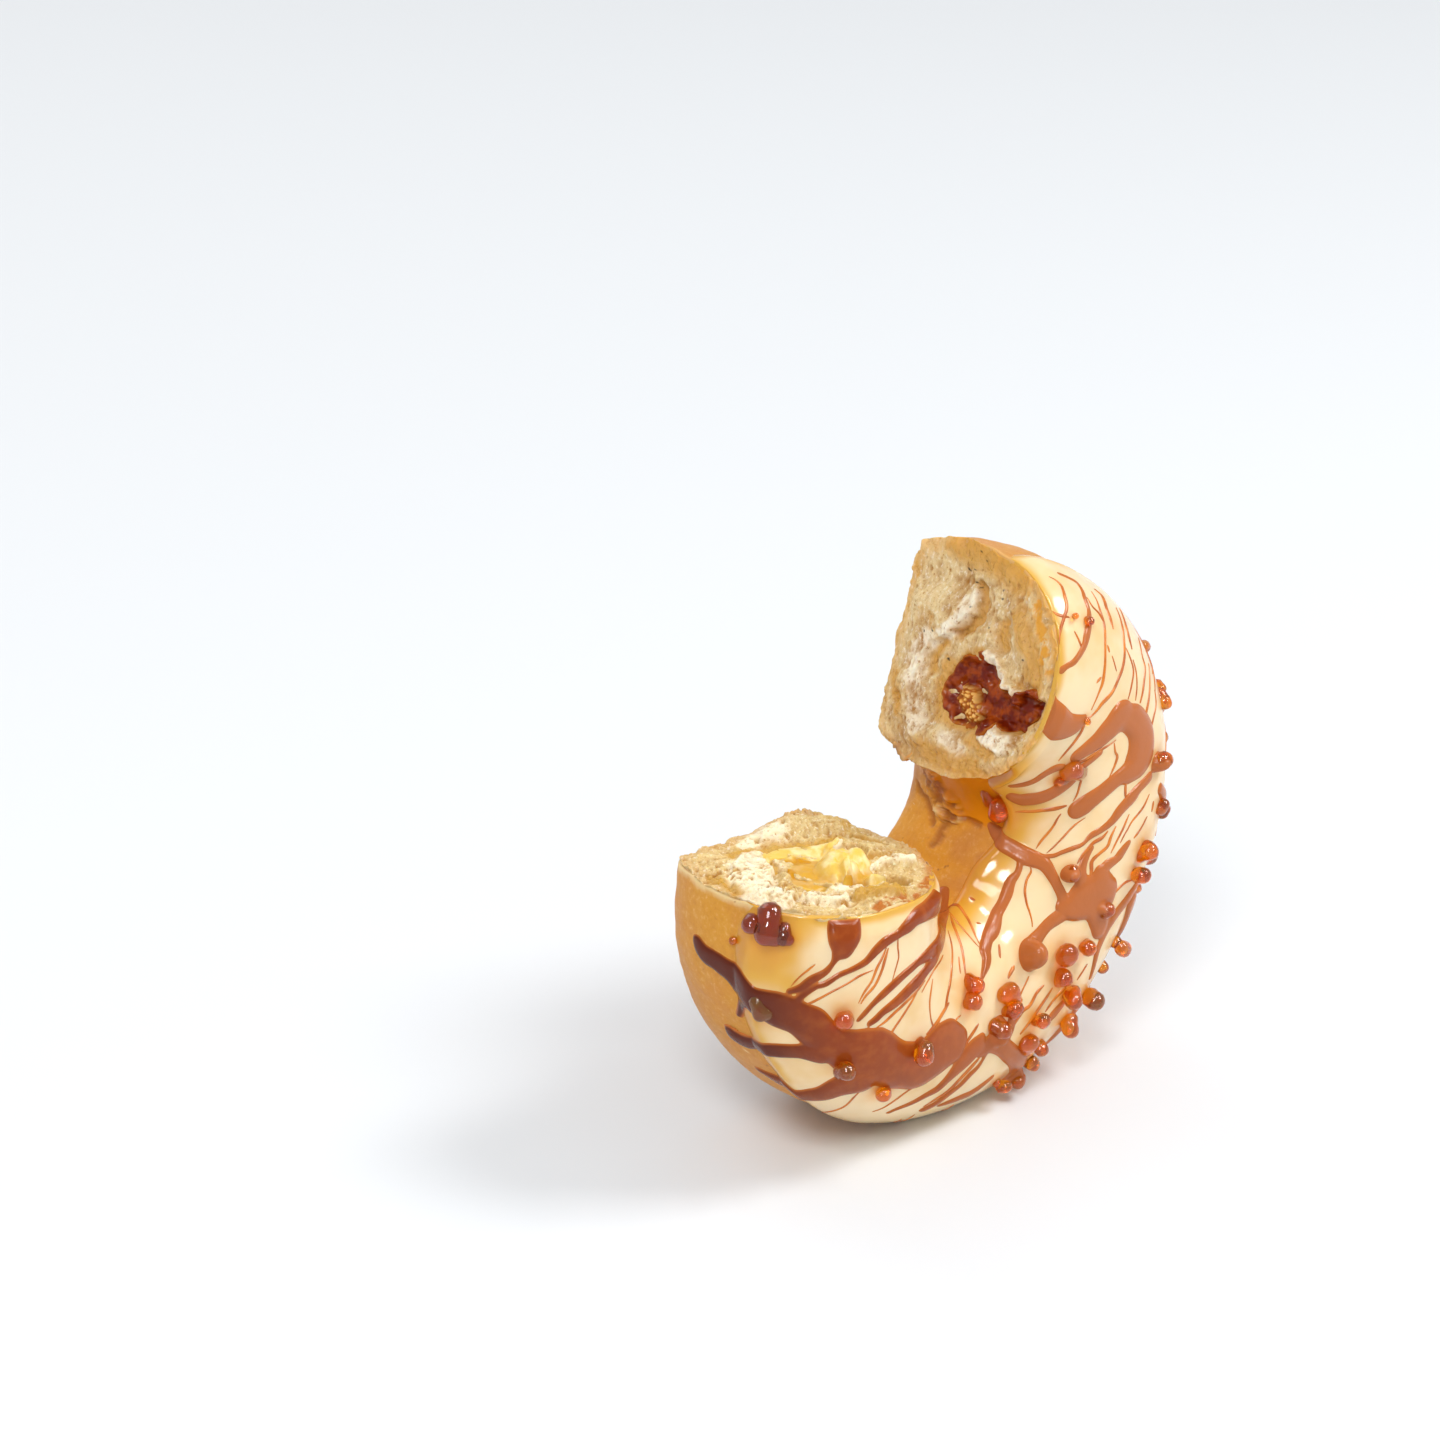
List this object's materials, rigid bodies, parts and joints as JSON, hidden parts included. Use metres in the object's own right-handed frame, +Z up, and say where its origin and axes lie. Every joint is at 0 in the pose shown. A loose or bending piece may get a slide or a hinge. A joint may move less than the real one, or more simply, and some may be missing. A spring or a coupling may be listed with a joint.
{
  "type": "filled ring doughnut",
  "caption": "Ring doughnut torn open and stood on its rim: dough with a custard and a caramel filling, iced on one side, with chocolate drizzle and caramel crunch",
  "frame": {"origin": "middle of the small flat spot that the doughnut stands on, straight below the middle of the ring where the tube is widest", "axes": "+Z up, +Y from the iced side to the plain base, along the ring's axis; +X to the right seen from the iced side; the ring's plane is upright and its torn gap is at the upper left"},
  "size_m": [0.0958, 0.0374, 0.0893],
  "materials": {
    "dough": "fried dough: smooth golden crust, pale open crumb where it is torn",
    "custard": "soft yellow custard, moist and slightly glossy",
    "caramel": "dark wet caramel with sugar grains",
    "icing": "glossy cream icing with satin milk chocolate drizzle and glassy amber caramel lumps"
  },
  "bodies": {
    "root": {"dough": "dough", "custard_filling": "custard", "caramel_filling": "caramel", "icing": "icing"}
  },
  "joints": []
}
